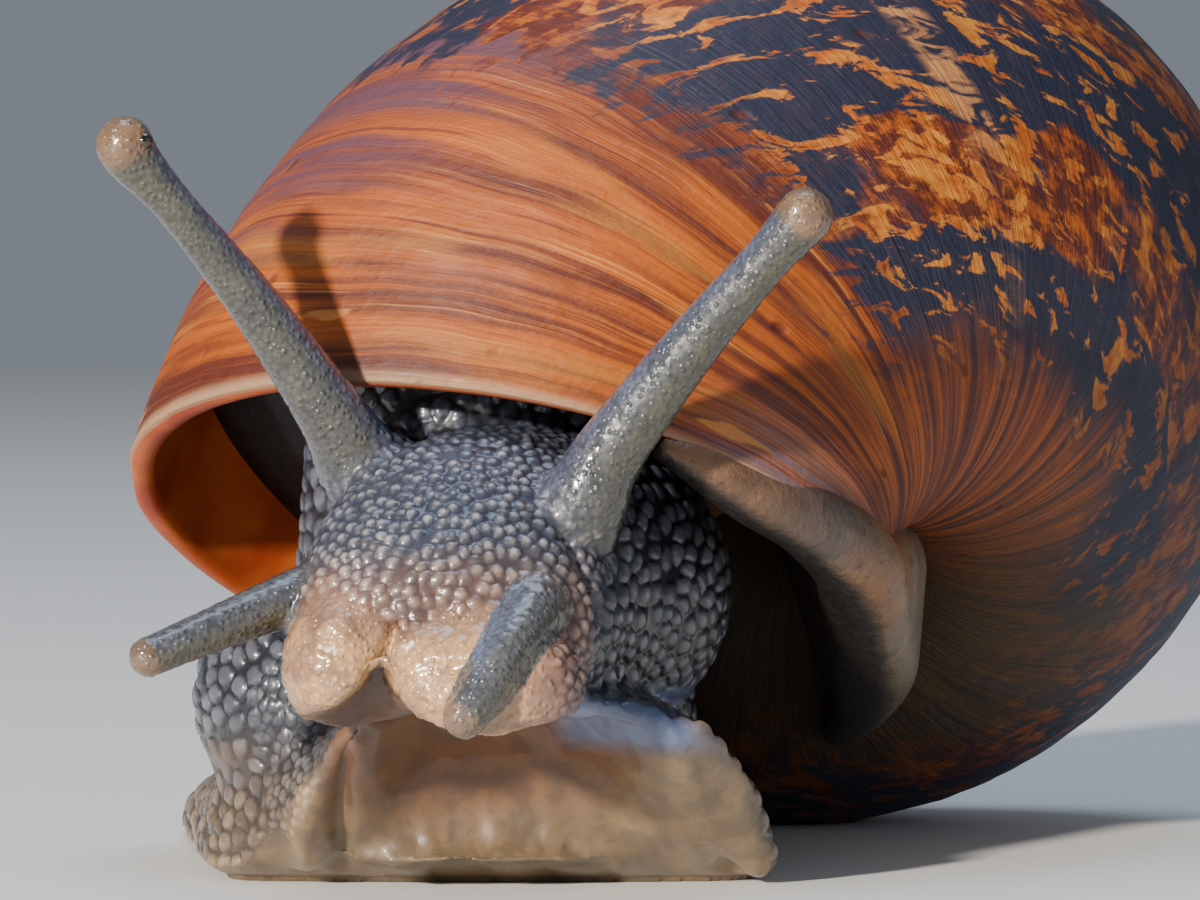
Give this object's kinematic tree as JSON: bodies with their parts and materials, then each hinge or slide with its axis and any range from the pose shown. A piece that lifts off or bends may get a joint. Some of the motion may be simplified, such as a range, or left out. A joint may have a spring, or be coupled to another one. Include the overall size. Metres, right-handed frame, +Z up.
{
  "type": "brown garden snail (Cornu aspersum), still model",
  "caption": "Life-size still model of a crawling brown garden snail with its head raised, feelers out and a round spiral shell leaning to its left.",
  "frame": {"origin": "middle of the flat of the sole, on the floor", "axes": "-Y the way the snail crawls and looks, +X its left, +Z up"},
  "size_m": [0.0303, 0.0463, 0.025],
  "materials": {
    "shell": "satin shell, orange brown with darker bands and flecks",
    "mantle_collar": "wet soft skin, dark grey brown",
    "flesh": "wet soft skin with fine warts, blue grey",
    "lips": "wet soft skin, cream",
    "eye": "glossy black"
  },
  "bodies": {
    "root": {"shell": "shell", "mantle_collar": "mantle_collar", "head": "flesh", "neck": "flesh", "foot_front": "flesh", "foot_middle": "flesh", "tail": "flesh", "upper_tentacle_left": "flesh", "upper_tentacle_right": "flesh", "lower_tentacle_left": "flesh", "lower_tentacle_right": "flesh", "lip_left": "lips", "lip_right": "lips", "eye_left": "eye", "eye_right": "eye"}
  },
  "joints": []
}
